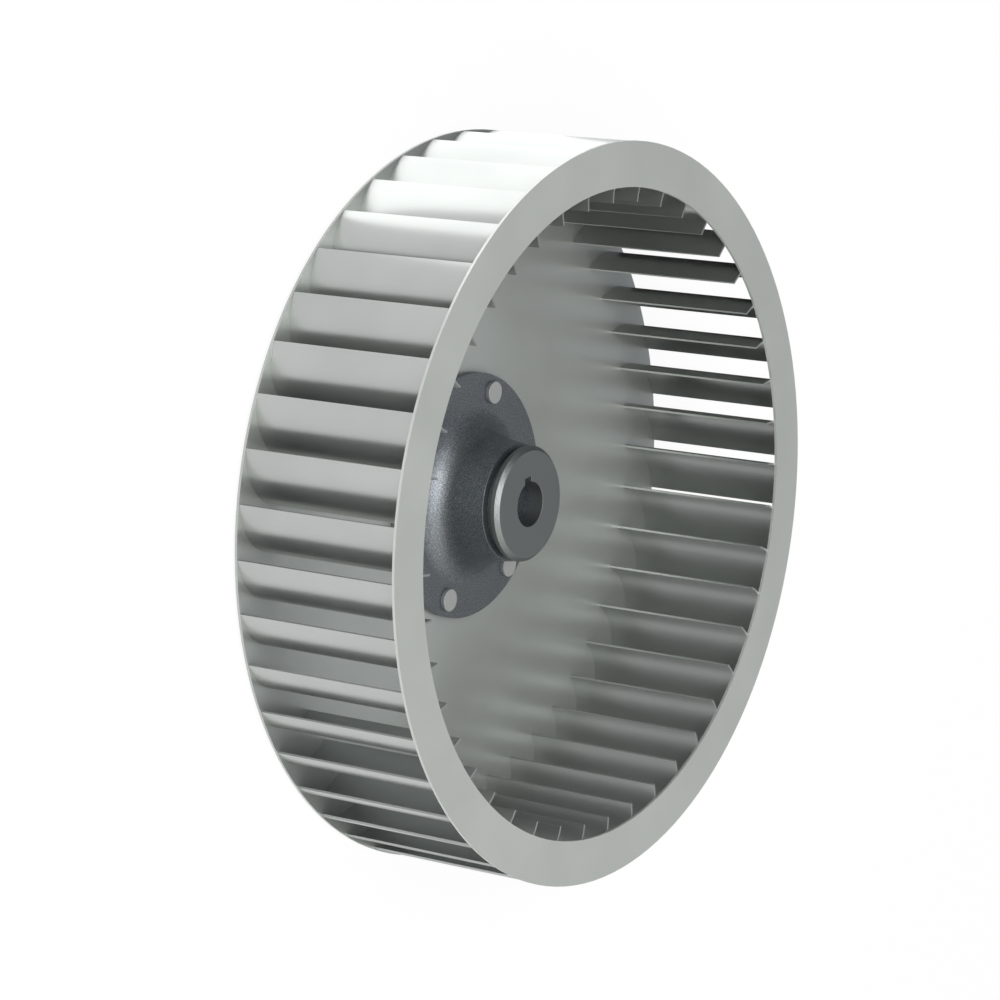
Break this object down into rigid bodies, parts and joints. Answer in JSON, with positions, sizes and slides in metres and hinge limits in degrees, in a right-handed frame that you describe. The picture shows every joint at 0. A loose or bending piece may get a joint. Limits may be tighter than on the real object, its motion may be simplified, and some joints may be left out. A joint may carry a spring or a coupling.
{
  "type": "centrifugal fan impeller",
  "caption": "Forward-curved centrifugal fan impeller: curved sheet blades between a back plate and an inlet ring, turned by a riveted hub with a keyed bore.",
  "frame": {"origin": "on the wheel's axis, in the plane of the rivet heads' back faces, on which the wheel stands", "axes": "+Z along the shaft bore and out through the inlet eye, +Y through the keyway, +X through a rivet"},
  "size_m": [0.4099, 0.41, 0.1039],
  "materials": {
    "sheet_blade": "smooth satin sheet steel",
    "sheet_plate": "smooth satin sheet steel",
    "sheet_ring": "smooth satin sheet steel",
    "cast_hub": "fine cast grain with turned nose",
    "rivet_steel": "satin pressed head"
  },
  "bodies": {
    "root": {"blade_01": "sheet_blade", "blade_02": "sheet_blade", "blade_03": "sheet_blade", "blade_04": "sheet_blade", "blade_05": "sheet_blade", "blade_06": "sheet_blade", "blade_07": "sheet_blade", "blade_08": "sheet_blade", "blade_09": "sheet_blade", "blade_10": "sheet_blade", "blade_11": "sheet_blade", "blade_12": "sheet_blade", "blade_13": "sheet_blade", "blade_14": "sheet_blade", "blade_15": "sheet_blade", "blade_16": "sheet_blade", "blade_17": "sheet_blade", "blade_18": "sheet_blade", "blade_19": "sheet_blade", "blade_20": "sheet_blade", "blade_21": "sheet_blade", "blade_22": "sheet_blade", "blade_23": "sheet_blade", "blade_24": "sheet_blade", "blade_25": "sheet_blade", "blade_26": "sheet_blade", "blade_27": "sheet_blade", "blade_28": "sheet_blade", "blade_29": "sheet_blade", "blade_30": "sheet_blade", "blade_31": "sheet_blade", "blade_32": "sheet_blade", "blade_33": "sheet_blade", "blade_34": "sheet_blade", "blade_35": "sheet_blade", "blade_36": "sheet_blade", "blade_37": "sheet_blade", "blade_38": "sheet_blade", "blade_39": "sheet_blade", "blade_40": "sheet_blade", "blade_41": "sheet_blade", "blade_42": "sheet_blade", "blade_43": "sheet_blade", "blade_44": "sheet_blade", "back_plate": "sheet_plate", "inlet_ring": "sheet_ring", "hub": "cast_hub", "rivets": "rivet_steel"}
  },
  "joints": []
}
